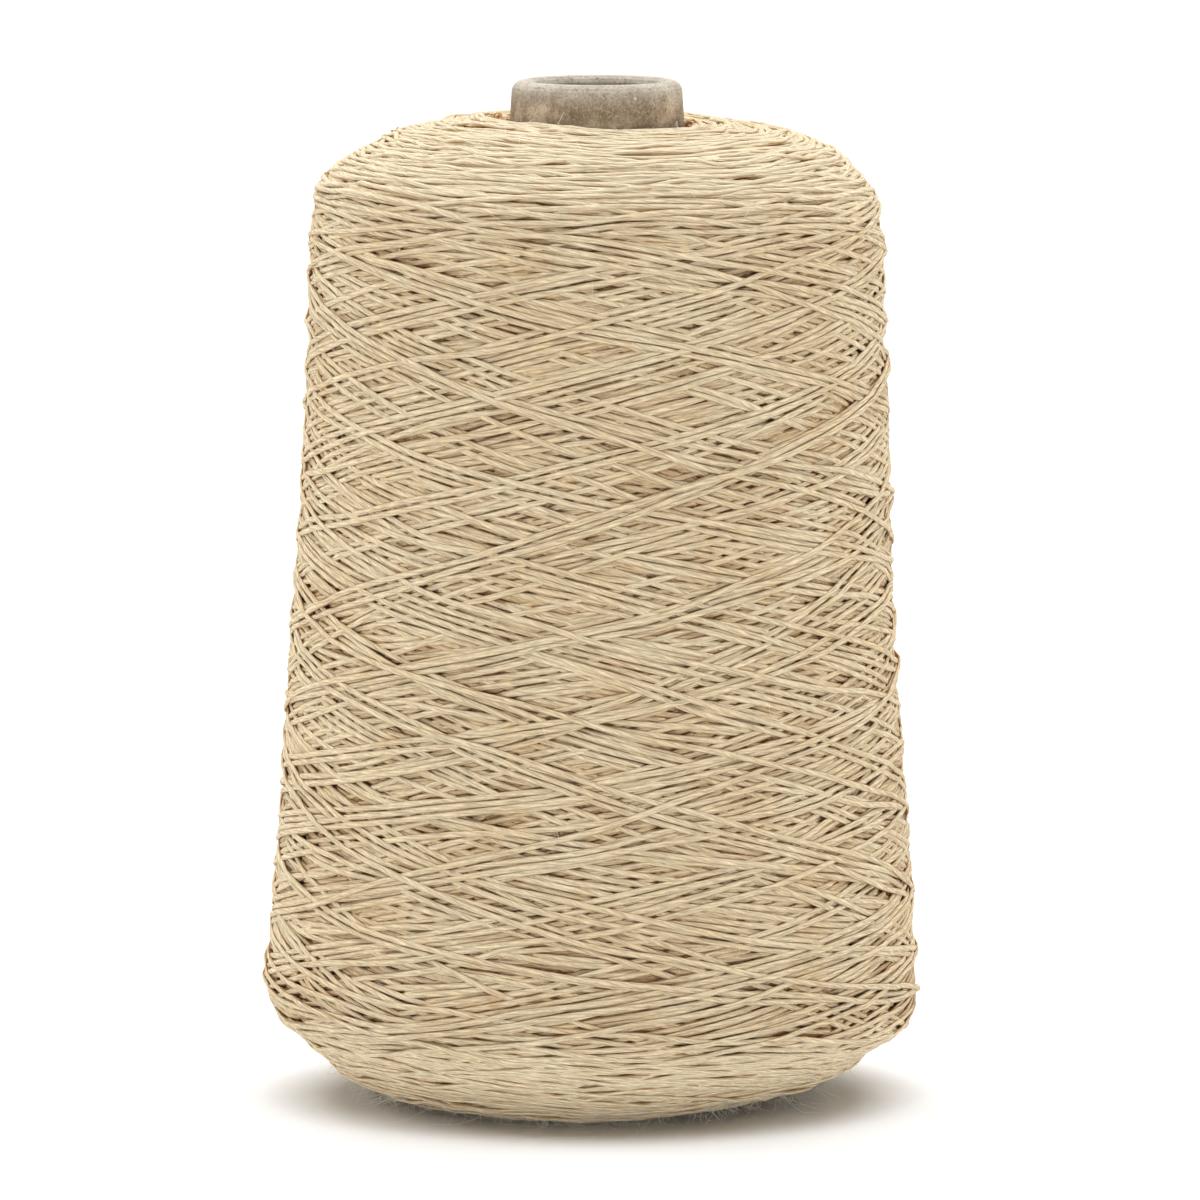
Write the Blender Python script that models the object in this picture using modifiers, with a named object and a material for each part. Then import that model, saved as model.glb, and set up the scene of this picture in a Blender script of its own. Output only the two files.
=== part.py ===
"""A cone of yarn: a tapered paper core with a rolled nose, cross-wound with cotton yarn.

Metres, +Z up. The origin is on the core's axis, in the plane that the core stands on.
"""

import math

import bpy

# The paper core.
CORE_HEIGHT = 0.230
CORE_TAPER = math.radians(3.5)
CORE_WALL = 0.0030
NOSE_RADIUS = 0.0192
NOSE_ROLL = 0.00255
NOSE_LIP_DEPTH = 0.0065
BASE_CHAMFER = 0.0004
CORE_SEGMENTS = 40
ROLL_STEPS = 8

# The wound yarn, from the foot of the nose down to the yarn that hides the base of the core.
YARN_SECTIONS = (
    # name, height, radius
    ("nose_seat", 0.2220, 0.0240),
    ("dome_flat", 0.2212, 0.0350),
    ("dome", 0.2180, 0.0460),
    ("dome_edge", 0.2130, 0.0560),
    ("shoulder", 0.2065, 0.0622),
    ("flank_top", 0.1960, 0.0649),
    ("flank_high", 0.1600, 0.0662),
    ("flank_mid", 0.1000, 0.0690),
    ("flank_low", 0.0500, 0.0722),
    ("belly", 0.0260, 0.0742),
    ("belly_low", 0.0130, 0.0660),
    ("foot_high", 0.0050, 0.0538),
    ("foot", 0.0010, 0.0440),
    ("foot_inner", 0.0025, 0.0375),
)
CORE_GAP = 0.0003
RING_SPACING = 0.0049
YARN_SEGMENTS = 72
SPLINE_STEPS = 12

# How the package departs from a true turned shape: it leans, and its belly hangs to one side.
LEAN_AT_BASE = -0.0006
LEAN_AT_TOP = 0.0003
BELLY_SKEW = 0.0032
BELLY_HEIGHT = 0.0240
BELLY_REACH = 0.0260
FOOT_HEIGHT = 0.0080

# Relief of the winding: crossing bands on the flank, near-level turns on the dome and the foot.
BAND_COUNT = 8
BAND_ANGLE = math.radians(18.0)
BAND_RADIUS = 0.0690
BAND_RELIEF = 0.0020
BAND_MEAN = 0.82
BAND_FADE = 0.0260
FLANK_LOW = 0.0260
FLANK_HIGH = 0.2040
TURN_SPACING = 0.0160
TURN_RELIEF = 0.0004
FOOT_CALM = 0.25
CORE_BLEND = (0.002, 0.014)
UNEVENNESS = (
    # waves around, waves up the whole height, phase, size
    (2, 0.8, 1.1, 0.00035),
    (3, -1.7, 0.4, 0.00030),
    (5, 2.6, 2.3, 0.00022),
)

COTTON = (0.56, 0.46, 0.31, 1.0)
PAPER = (0.42, 0.36, 0.28, 1.0)


def clear_scene():
    for obj in list(bpy.data.objects):
        bpy.data.objects.remove(obj, do_unlink=True)


def new_collection(name):
    collection = bpy.data.collections.new(name)
    bpy.context.scene.collection.children.link(collection)
    return collection


def new_material(name, colour, roughness):
    material = bpy.data.materials.new(name)
    material.use_nodes = True
    shader = material.node_tree.nodes["Principled BSDF"]
    shader.inputs["Base Color"].default_value = colour
    shader.inputs["Roughness"].default_value = roughness
    shader.inputs["Metallic"].default_value = 0.0
    material.diffuse_color = colour
    return material


def turned_object(name, outline, segments, collection):
    """A closed outline of (radius, height) points, turned about the Z axis."""
    count = len(outline)
    points = [(radius, 0.0, height) for radius, height in outline]
    edges = [(i, (i + 1) % count) for i in range(count)]
    mesh = bpy.data.meshes.new(name)
    mesh.from_pydata(points, edges, [])
    obj = bpy.data.objects.new(name, mesh)
    collection.objects.link(obj)
    screw = obj.modifiers.new("Turn", "SCREW")
    screw.axis = "Z"
    screw.angle = math.tau
    screw.steps = segments
    screw.render_steps = segments
    screw.use_merge_vertices = True
    screw.merge_threshold = 0.00005
    screw.use_smooth_shade = True
    return obj


def core_radius(height):
    """The core's outer radius, which widens from the nose's roll to the base."""
    below_nose = CORE_HEIGHT - NOSE_ROLL - height
    return NOSE_RADIUS + max(0.0, below_nose) * math.tan(CORE_TAPER)


def core_outline():
    """Over the roll, down the outside, across the base and back up the bore."""
    roll_radius = NOSE_RADIUS - NOSE_ROLL
    roll_height = CORE_HEIGHT - NOSE_ROLL
    lip_height = CORE_HEIGHT - NOSE_LIP_DEPTH
    neck_height = lip_height - NOSE_ROLL
    points = []
    for step in range(ROLL_STEPS + 1):
        turn = math.pi - math.pi * step / ROLL_STEPS
        radius = roll_radius + NOSE_ROLL * math.cos(turn)
        points.append((radius, roll_height + NOSE_ROLL * math.sin(turn)))
    base_radius = core_radius(0.0)
    for height in (0.150, 0.075):
        points.append((core_radius(height), height))
    points.append((base_radius, BASE_CHAMFER))
    points.append((base_radius - BASE_CHAMFER, 0.0))
    points.append((base_radius - CORE_WALL + BASE_CHAMFER, 0.0))
    points.append((base_radius - CORE_WALL, BASE_CHAMFER))
    for height in (0.075, 0.150, neck_height):
        points.append((core_radius(height) - CORE_WALL, height))
    points.append((roll_radius - NOSE_ROLL * math.cos(math.pi / 4), lip_height - NOSE_ROLL / 4))
    points.append((roll_radius - NOSE_ROLL, lip_height + NOSE_ROLL / 2))
    return points


def spline_point(before, start, end, after, share):
    """A point of a Catmull-Rom curve between start and end."""
    point = []
    for a, b, c, d in zip(before, start, end, after):
        linear = (c - a) * share
        square = (2 * a - 5 * b + 4 * c - d) * share**2
        cubic = (3 * b - a - 3 * c + d) * share**3
        point.append(b + 0.5 * (linear + square + cubic))
    return tuple(point)


def yarn_curve():
    """A fine smooth curve of (radius, height) through the named sections."""
    knots = [(radius, height) for _, height, radius in YARN_SECTIONS]
    padded = [knots[0], *knots, knots[-1]]
    curve = []
    for i in range(len(knots) - 1):
        for step in range(SPLINE_STEPS):
            curve.append(spline_point(*padded[i : i + 4], step / SPLINE_STEPS))
    curve.append(knots[-1])
    return curve


def evenly_spaced(curve, spacing):
    """Points along the curve at an even distance, as near to the spacing as fits."""
    travelled = [0.0]
    for a, b in zip(curve, curve[1:]):
        travelled.append(travelled[-1] + math.dist(a, b))
    count = round(travelled[-1] / spacing)
    points = []
    segment = 0
    for i in range(count + 1):
        target = travelled[-1] * i / count
        while segment < len(curve) - 2 and travelled[segment + 1] < target:
            segment += 1
        share = (target - travelled[segment]) / (travelled[segment + 1] - travelled[segment])
        a, b = curve[segment], curve[segment + 1]
        points.append((a[0] + (b[0] - a[0]) * share, a[1] + (b[1] - a[1]) * share))
    return points


def yarn_outline():
    """The outside from the nose to the foot, and then the bore that clears the core."""
    outside = evenly_spaced(yarn_curve(), RING_SPACING)
    top, foot = outside[0][1], outside[-1][1]
    bore = [(core_radius(height) + CORE_GAP, height) for height in (foot, (foot + top) / 2, top)]
    return outside + bore


def smooth_step(value, low, high):
    share = min(1.0, max(0.0, (value - low) / (high - low)))
    return share * share * (3 - 2 * share)


def lean(height):
    """How far the package's middle stands off the axis at a height."""
    return LEAN_AT_BASE + (LEAN_AT_TOP - LEAN_AT_BASE) * height / CORE_HEIGHT


def band_relief(height, angle):
    """Two families of crossing bands, the higher of the two on top, with hollows between."""
    lead = math.tau * BAND_RADIUS * math.tan(BAND_ANGLE)
    climb = math.tau * height / lead
    rising = abs(math.cos(BAND_COUNT * (angle - climb) / 2 + 0.5 * math.sin(angle + 1.3 * climb)))
    falling = abs(math.cos(BAND_COUNT * (angle + climb) / 2 + 0.5 * math.sin(angle - 1.7 * climb)))
    weight = 0.85 + 0.15 * math.sin(2 * angle + 2.1 * climb)
    return BAND_RELIEF * (max(rising, falling * weight) - BAND_MEAN)


def turn_relief(radius, height):
    """Low rings where the yarn lies nearly level."""
    return TURN_RELIEF * math.cos(math.tau * (radius - height) / TURN_SPACING)


def relief(radius, height, angle):
    """How far the winding stands out of the smooth shape."""
    flank = smooth_step(height, FLANK_LOW - BAND_FADE / 2, FLANK_LOW + BAND_FADE / 2)
    flank *= 1 - smooth_step(height, FLANK_HIGH - BAND_FADE, FLANK_HIGH)
    raised = flank * band_relief(height, angle) + (1 - flank) * turn_relief(radius, height)
    for around, upward, phase, size in UNEVENNESS:
        raised += size * math.sin(around * angle + math.tau * upward * height / CORE_HEIGHT + phase)
    return raised


def belly_drop(height, angle):
    """How far the belly hangs lower on one side and is drawn up on the other."""
    bell = math.exp(-(((height - BELLY_HEIGHT) / BELLY_REACH) ** 2))
    return bell * smooth_step(height, 0.0, FOOT_HEIGHT) * BELLY_SKEW * math.cos(angle)


def raise_winding(obj):
    """Moves the outside of the turned yarn by its relief, lean and hanging belly."""
    depsgraph = bpy.context.evaluated_depsgraph_get()
    mesh = bpy.data.meshes.new_from_object(obj.evaluated_get(depsgraph))
    obj.modifiers.clear()
    obj.data = mesh
    normals = [vertex.normal.copy() for vertex in mesh.vertices]
    for vertex, normal in zip(mesh.vertices, normals):
        x, y, height = vertex.co
        radius = math.hypot(x, y)
        angle = math.atan2(y, x)
        off_core = smooth_step(radius - core_radius(height), *CORE_BLEND)
        calm = FOOT_CALM + (1 - FOOT_CALM) * smooth_step(height, 0.0, BELLY_HEIGHT)
        vertex.co += normal * (off_core * calm * relief(radius, height, angle))
        vertex.co.x += off_core * lean(height)
        vertex.co.z -= off_core * belly_drop(height, angle)


def build_core(collection):
    obj = turned_object("paper_core", core_outline(), CORE_SEGMENTS, collection)
    obj.data.materials.append(new_material("grey_paper", PAPER, 0.85))
    return obj


def build_yarn(collection):
    obj = turned_object("yarn_body", yarn_outline(), YARN_SEGMENTS, collection)
    raise_winding(obj)
    obj.data.materials.append(new_material("beige_cotton", COTTON, 0.9))
    obj.data.shade_smooth()
    return obj


clear_scene()
parts = new_collection("yarn_cone")
build_core(parts)
build_yarn(parts)
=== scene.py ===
"""The looks of a cone of yarn: every visible turn of the cross-wound cotton, and its paper core.

The yarn is wound by a small simulation. The outside of the yarn's solid is unrolled into a chart,
with the angle about the axis one way and the distance from the nose down to the foot the other way.
Turns are laid on the chart one after the other. Each settles beside its neighbours, rests on what is
under it and bridges the hollows like a taut string. What shows at the end becomes tubes.
"""

import math

import bpy
import numpy as np
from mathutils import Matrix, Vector
from mathutils.bvhtree import BVHTree


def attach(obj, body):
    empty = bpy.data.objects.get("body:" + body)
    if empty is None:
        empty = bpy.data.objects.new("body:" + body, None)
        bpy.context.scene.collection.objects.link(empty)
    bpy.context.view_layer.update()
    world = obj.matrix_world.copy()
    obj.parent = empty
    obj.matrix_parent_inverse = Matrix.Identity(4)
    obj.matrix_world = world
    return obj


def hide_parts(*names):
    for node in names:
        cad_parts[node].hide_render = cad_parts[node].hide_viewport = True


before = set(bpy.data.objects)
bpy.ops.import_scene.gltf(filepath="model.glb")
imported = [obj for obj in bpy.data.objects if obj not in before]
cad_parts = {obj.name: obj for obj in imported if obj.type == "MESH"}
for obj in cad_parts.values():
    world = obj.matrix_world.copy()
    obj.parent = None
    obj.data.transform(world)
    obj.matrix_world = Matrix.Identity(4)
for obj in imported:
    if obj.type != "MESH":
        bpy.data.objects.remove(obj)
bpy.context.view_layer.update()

MM = 0.001
TAU = math.tau
SEED = 20

# Camera: the photograph's frame, and where its view axis meets the cone.
FRAME_PIXELS = 1200
CAMERA_DISTANCE = 2.400
CAMERA_ELEVATION = math.radians(6.84)
FOCAL_PIXELS = 10625.0
SENSOR_WIDTH = 36.0
AIM_HEIGHT = 0.115
AIM_PIXEL = (597.0, 588.3)

# One strand of yarn. Its ends thin out and dive under the others.
STRAND_HALF_WIDTH = 0.65 * MM
DRAWN_HALF_WIDTH = 0.74 * MM
END_HALF_WIDTH = 0.68 * MM
STRAND_HALF_HEIGHT = 0.46 * MM
STACK_HALF_HEIGHT = 0.32 * MM
STIFF_LENGTH = 2.0 * MM
TAIL_LENGTH = 12 * MM
TAIL_DEPTH = 2.5 * MM
STRAND_SIDES = 6
RING_SPACING = 4.0 * MM
SWELL_SPREAD = 0.035
END_SWELL = 0.3
END_DROP = 0.8 * MM
LOWEST_RING = 1.15 * STRAND_HALF_HEIGHT
TURN_SHIFT = 0.37
TONE_STEP = 0.61803

# Loose fibres. More and longer ones stand out of the foot, from a height in to a radius.
FUZZ_HAIRS = 1000
FOOT_HAIRS = 2000
FUZZY_FOOT = (4.5 * MM, 45 * MM)
FOOT_HAIR_LENGTH = 2.2
FOOT_RADIUS = 50 * MM
HAIR_LENGTH = (0.8 * MM, 3.6 * MM)
HAIR_RADIUS = 0.06 * MM
HAIR_SIDES = 3
HAIR_RINGS = 4
HAIR_TIP = 0.35
HAIR_ROOT = 0.1 * MM
HAIR_RISE = (0.2, 0.7)
HAIR_STRAY = 0.5
HAIR_CURL = 0.5

# Short kinked bits of yarn on the crown.
KINKS = (
    # count, angle, spread of the angle, radius, spread of the radius
    (9, math.pi + 0.05, 0.30, 23.0 * MM, 2.0 * MM),
    (6, 0.05, 0.22, 21.8 * MM, 1.0 * MM),
    (3, math.pi - 0.30, 0.03, 46.5 * MM, 0.6 * MM),
    (10, math.pi / 2, 1.2, 23.5 * MM, 1.5 * MM),
)
KINK_LENGTH = 3.0 * MM
KINK_RADIUS = 0.26 * MM
KINK_CURL = 0.7 * MM
KINK_RINGS = 12
KINK_SIDES = 6
KINK_DIRECTION = (1.0, 1.0, 0.2)
KINK_SIZES = (0.6, 1.2)
KINK_TURNS = (1.2, 2.4)
KINK_RISE = 0.9
KINK_DIP = 6

# The chart, and the coarser guide that gives its shape.
CHART_COLUMNS = 1280
CHART_CELL = 0.33 * MM
CHART_EDGE = 0.8 * MM
GUIDE_COLUMNS = 96
GUIDE_SPACING = 1.5 * MM
GUIDE_STANDOFF = 5.0 * MM
GUIDE_REACH = 6 * GUIDE_STANDOFF
GUIDE_SMOOTHING = 5
ENVELOPE_BLUR = 9.0 * MM

# How one turn settles on the chart, and how the package is pressed.
STEP = 0.5 * MM
CONTACT_WIDTH = 0.8
CONTACT_SAMPLES = 9
SETTLE_REACH = 1.0 * MM
SETTLE_SHIFTS = 9
SETTLE_SAMPLES = 5
SETTLE_COST = 0.06
SETTLE_COST_BLUR = 14 * MM
SETTLE_SHIFT_BLUR = 20 * MM
LAID_WIDTH = 0.99
LAID_SAMPLES = 11
SAG = 140.0
TAIL_POWER = 1.5
PRESS_BLUR = 3.6 * MM
SQUEEZE_PER_COVER = 0.5
LEVEL_PER_COVER = 8.0
PRESS_EVERY = 8

# The turns that cover the two ends, and the passes up and down the flank.
WIND_TANGENT = math.tan(math.radians(17.0))
SHOULDER_HEIGHT = 206 * MM
BELLY_HEIGHT = 13 * MM
DOME_LAYERS = 5
DOME_LAYER_TURNS = 29
FOOT_LAYERS = 4
FOOT_LAYER_TURNS = 26
FOOT_LAYER_RISE = 4 * MM
END_JITTER = 0.4
END_CROWDING = 0.3
END_SPAN = (0.55, 1.15)
END_DRIFT = 3.0 * MM
END_PLACES = 200
END_POINTS = 400
DOME_SWAY = ((3, 1.5 * MM), (7, 1.1 * MM), (15, 0.6 * MM), (25, 0.4 * MM))
FOOT_SWAY = ((2, 5.0 * MM), (3, 4.2 * MM), (5, 2.8 * MM), (8, 1.4 * MM), (21, 0.3 * MM))
CALM_EDGE = 12 * MM
CALM_LEAST = 0.1
BASE_TURNS = 5
DOUBLE_STROKES = 245
STROKE_DRIFT = 10 * MM
STROKE_SKEW = 0.7
STROKE_POINTS = 600
TOP_SPREAD = 8 * MM
BELLY_SPREAD = 30 * MM
FOOT_OVERLAP = 24 * MM
FOOT_MARGIN = 9 * MM
SET_SWAY = ((2, 5.0 * MM), (3, 4.5 * MM), (5, 3.5 * MM), (8, 2.0 * MM))
PASS_SWAY = ((3, 0.2 * MM), (7, 0.2 * MM), (13, 0.2 * MM))
RIBBON_CHANCE = 0.55
RIBBONS = ((1, 2), (1, 3), (2, 3), (1, 4), (2, 5), (3, 7))
RIBBON_SPACING = (1.15 * MM, 1.6 * MM)
RIBBON_ROUNDS = (2, 5)
RIBBON_JITTER = (0.95, 1.15)
LOOSE_GAIN = (0.2, 0.8)
LOOSE_SET_SIZE = (3, 9)
GAIN_JITTER = 0.0015
TRIAL_STARTS = 12
TRIAL_STRIDE = 3
TRIAL_SAMPLES = 3
TRIAL_PASSES = 4
SET_SCATTER = 3.5 * MM
TURN_BACK_SCATTER = 3.0 * MM
TURN_BACK_REACH = 14 * MM

# What shows of the winding: its relief, and the skin under it.
TOP_SHARE = 90
SHOULDER_FADE = (18 * MM, 4 * MM)
BELLY_FADE = 20 * MM
FLANK_RELIEF = 0.90
DOME_RELIEF = 0.72
FOOT_RELIEF = 0.8
HIDDEN_MARGIN = 2.0 * MM
VISIBLE_OFFSETS = (-0.6, 0.0, 0.6)
BODY_DEPTH = 2.4 * MM
BODY_LOWEST = 0.5 * MM
BODY_BORE = (0.0336, 0.0202)
BODY_ROWS = 84
BODY_COLUMNS = 108
PIECES = 5

# How the finished package leans and sags, as soft yarn does.
FOOT_LEAN = -2.7 * MM
FOOT_LEAN_REACH = 24 * MM
FOOT_LEAN_RADII = (36 * MM, 44 * MM)
CROWN_DIP = 1.1 * MM
CROWN_TILT = 0.03
CROWN_RADII = (54 * MM, 30 * MM)
FOOT_SETTLE = 1.6 * MM
FOOT_SETTLE_RADII = ((36 * MM, 42 * MM), (53 * MM, 62 * MM))
FOOT_SETTLE_SIDES = (0.6, -0.55)
WAIST_SHIFT = -1.1 * MM
WAIST_HEIGHT = 98 * MM
WAIST_REACH = 34 * MM
CORNERS = (
    # how far it is drawn out on the left and on the right, radius, height, reach
    (1.4 * MM, -0.2 * MM, 62 * MM, 209 * MM, 6 * MM),
    (0.6 * MM, 1.6 * MM, 72 * MM, 19 * MM, 5 * MM),
    (0.0 * MM, -0.7 * MM, 65 * MM, 10 * MM, 5 * MM),
    (-1.2 * MM, -1.3 * MM, 73 * MM, 34 * MM, 9 * MM),
    (2.0 * MM, 0.3 * MM, 74 * MM, 26 * MM, 5 * MM),
)
CORNER_SLANT = 0.7

# The cotton: its plies, and its colours by place, with painted shade and painted light among them.
PLIES = 5.0
PLY_PITCH = 34.0
PLY_SWAY = (0.16, 2.2)
FIBRE_STRETCH = 0.24
GROOVE_POWER = 0.7
GROOVE_SHADE = (0.28, 0.75)
FIBRE_SHADE = (1.2, 0.40)
DOME_CONTRAST = -0.2
GREY_MIDDLE = 0.97
DOME_RAMP = (0.198, 0.214)
FOOT_RAMP = (0.026, 0.008)
PALE = (0.675, 0.563, 0.38, 1)
DEEP = (0.64, 0.51, 0.322, 1)
WARM = (0.64, 0.41, 0.20, 1)
# Painted shade on the crown: duller, slightly darker cotton there, to hold down the strong light from
# above.
DOME_PAINTED_SHADE_COLOUR = (0.642, 0.547, 0.385, 1)
# Painted light on the foot: paler cotton near the floor, to brighten the underside that the lamps leave in
# shade.
FOOT_PAINTED_LIGHT_COLOUR = (0.90, 0.772, 0.553, 1)
# Painted shade deeper in the winding: the further a strand lies below the top, the darker and warmer it
# is.
SUNK_SHADE_COLOUR = (0.44, 0.20, 0.035, 1)
# Painted shade on the sides of each strand, where it turns down into the slits: dark brown on the flank,
# lighter and more orange on the crown and the foot.
FLANK_SIDE_SHADE = (0.31, 0.12, 0.012, 1)
DOME_SIDE_SHADE = (0.62, 0.38, 0.155, 1)
FOOT_SIDE_SHADE = (0.58, 0.36, 0.15, 1)
SHEEN_TINT = (1.0, 0.86, 0.64, 1)
# Loose fibres: paler than the yarn, and paler still as painted light, as if lit over the dark shadow at
# the foot.
FUZZ_PALE_AND_LIT_COLOURS = ((0.84, 0.76, 0.62, 1), (0.95, 0.90, 0.80, 1))
KINK_COLOURS = ((0.50, 0.25, 0.10, 1), (0.66, 0.46, 0.26, 1))
# Painted shade: the skin under the turns is a dark warm brown, for the shade down between them.
BODY_SHADE_COLOURS = ((0.36, 0.19, 0.065, 1), (0.54, 0.33, 0.14, 1))

# The paper: brown below, greyer and paler over the nose, with blotches, grain and specks.
NOSE_RAMP = (0.2235, 0.2300)
PAPER_BROWNS = ((0.32, 0.238, 0.156, 1), (0.55, 0.43, 0.302, 1))
PAPER_GREYS = ((0.385, 0.34, 0.28, 1), (0.522, 0.472, 0.394, 1))
BLOTCH_COLOUR = (0.16, 0.11, 0.065, 1)
PAPER_SPECKS = (
    # cells in a metre, radius in a cell, share of the cells without one, strength, colour
    (520.0, 0.17, 0.75, 0.55, (0.10, 0.07, 0.05, 1)),
    (330.0, 0.13, 0.7, 0.6, (0.72, 0.68, 0.60, 1)),
)

# The studio.
LIGHTS = (
    # name, place, what it faces, width and height, power
    ("overhead_light", (0.0, 1.5, 3.4), (0, 1.3, 0.0), (5.5, 8.0), 450),
    ("left_back_light", (-2.4, 0.8, 1.3), (0, 0, 0), (1.2, 1.2), 21.5),
    ("right_back_light", (2.4, 0.8, 1.3), (0, 0, 0), (1.2, 1.2), 16.5),
    ("front_light", (0.0, -3.4, 0.26), (0, 0, 0.1), (2.4, 0.46), 13),
    ("left_light", (-1.2, -0.9, 0.13), (0, 0, 0.03), (0.8, 0.22), 4.0),
    ("right_light", (1.2, -0.9, 0.13), (0, 0, 0.03), (0.8, 0.22), 3.8),
)
WORLD_STRENGTH = 0.05
FLOOR_SIZE = 24
FLOOR_COLOUR = (0.78, 0.78, 0.78, 1)


def lowpass(field, sigma_rows, sigma_columns):
    """A Gaussian blur, periodic along the first axis and mirrored at the ends of the second."""
    mirrored = np.concatenate([field, field[:, ::-1]], axis=1)
    spectrum = np.fft.rfft2(mirrored)
    rows = np.fft.fftfreq(mirrored.shape[0])[:, None] * sigma_rows
    columns = np.fft.rfftfreq(mirrored.shape[1])[None, :] * sigma_columns
    spectrum *= np.exp(-2 * np.pi**2 * (rows**2 + columns**2))
    return np.fft.irfft2(spectrum, s=mirrored.shape)[:, : field.shape[1]]


def running_sum(values, steps):
    """The trapezium integral of values over steps, from 0."""
    return np.concatenate([[0.0], np.cumsum((values[1:] + values[:-1]) / 2 * steps)])


def ease(values, start, end):
    """A smooth step from 0 at start to 1 at end."""
    share = np.clip((values - start) / (end - start), 0, 1)
    return share * share * (3 - 2 * share)


def sided(rightward, left, right):
    """A value that goes evenly from its left one at -1 to its right one at 1."""
    return (left + right) / 2 + (right - left) / 2 * rightward


def unit(vectors):
    return vectors / np.linalg.norm(vectors, axis=-1, keepdims=True)


def smooth_rows(values, width):
    """A smooth running mean along the first axis."""
    kernel = np.hanning(2 * width + 3)[1:-1]
    kernel /= kernel.sum()
    half = len(kernel) // 2
    padded = np.pad(values, ((half, half), (0, 0)), mode="edge")
    columns = [np.convolve(column, kernel, "valid") for column in padded.T]
    return np.stack(columns, axis=1)


# --- the chart of the yarn's outside


def outer_chain(points):
    """The convex outline of (radius, height) points, from the top inner corner round to the foot."""
    ordered = points[np.lexsort((points[:, 1], points[:, 0]))]

    def half(sequence):
        chain = []
        for point in sequence:
            while len(chain) >= 2:
                a, b = chain[-2], chain[-1]
                if (b[0] - a[0]) * (point[1] - a[1]) - (b[1] - a[1]) * (point[0] - a[0]) < 0:
                    break
                chain.pop()
            chain.append(point)
        return chain

    upper = half(ordered)
    lower = half(ordered[::-1])
    return np.array(upper + lower[1:-1])


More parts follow.
